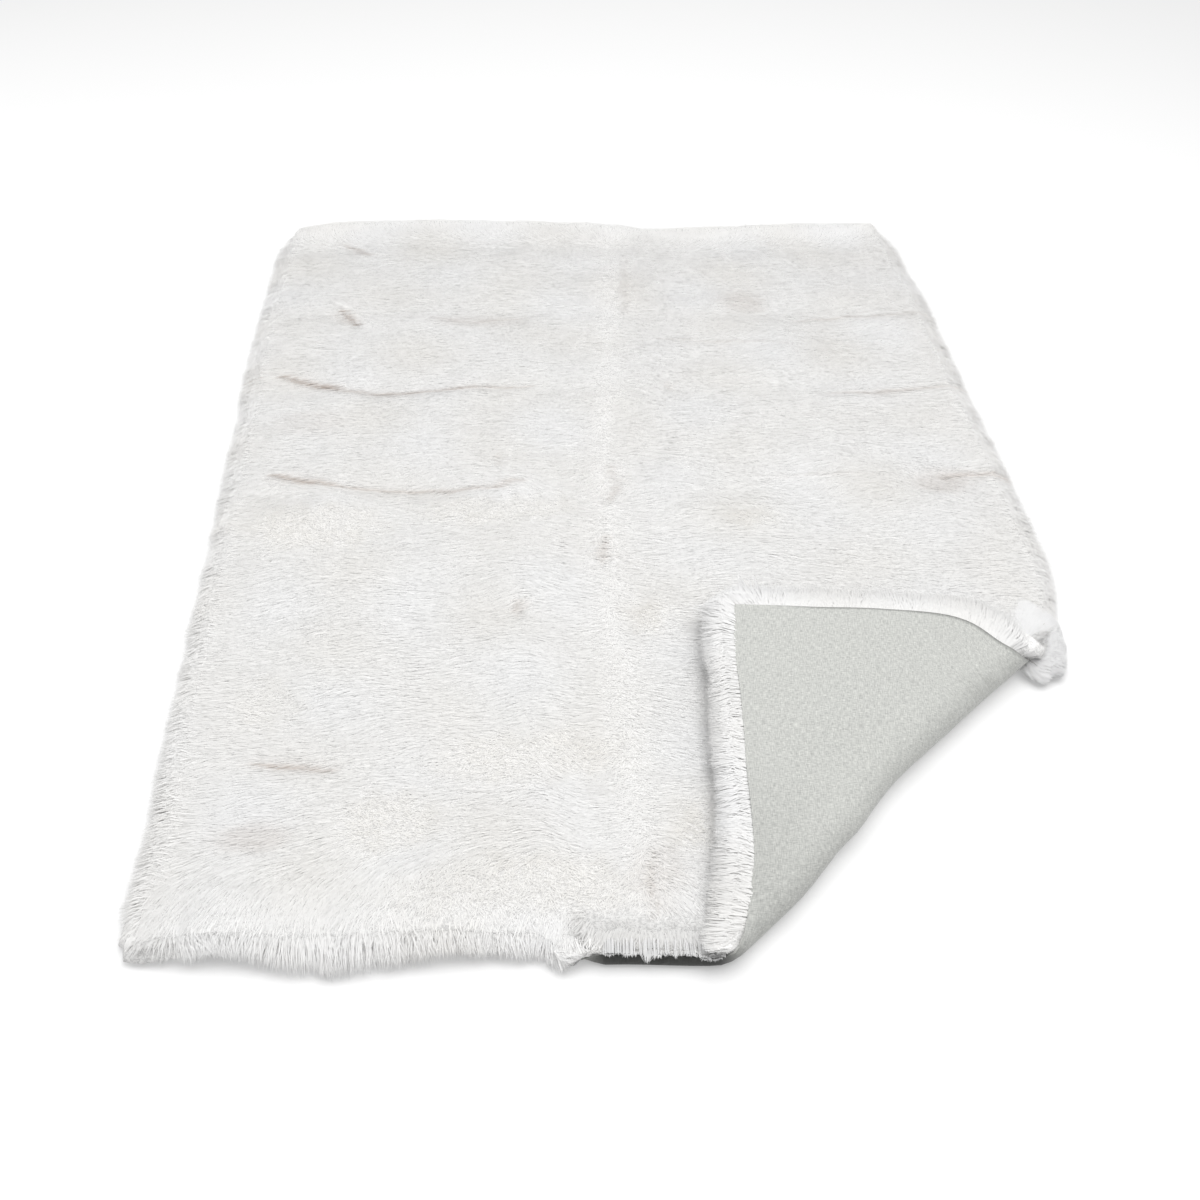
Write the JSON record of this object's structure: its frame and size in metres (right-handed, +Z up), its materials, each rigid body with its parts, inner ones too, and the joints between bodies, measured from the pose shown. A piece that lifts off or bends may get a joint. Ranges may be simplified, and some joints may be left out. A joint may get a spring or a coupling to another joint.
{
  "type": "fur blanket with a folded corner",
  "caption": "Long-haired white fur blanket, pelts sewn in columns and rows on a grey wool lining, lying fur side up with one corner folded over.",
  "frame": {"origin": "on the surface that the blanket lies on, at the middle of the blanket's box", "axes": "+Y along the length to the far edge, +X across to the right, +Z up; the folded corner is the near right one"},
  "size_m": [1.4286, 1.9482, 0.0861],
  "materials": {
    "fox_fur": "long soft guard hair over dense underfur, off-white",
    "lining_wool": "woven wool, light grey melange, matt"
  },
  "bodies": {
    "root": {"lining": "lining_wool", "pelt_left_1": "fox_fur", "pelt_left_2": "fox_fur", "pelt_left_3": "fox_fur", "pelt_left_4": "fox_fur", "pelt_left_5": "fox_fur", "pelt_left_6": "fox_fur", "pelt_left_7": "fox_fur", "pelt_right_1": "fox_fur", "pelt_right_2": "fox_fur", "pelt_right_3": "fox_fur", "pelt_right_4": "fox_fur", "pelt_right_5": "fox_fur", "pelt_right_6": "fox_fur", "pelt_right_7": "fox_fur"}
  },
  "joints": []
}
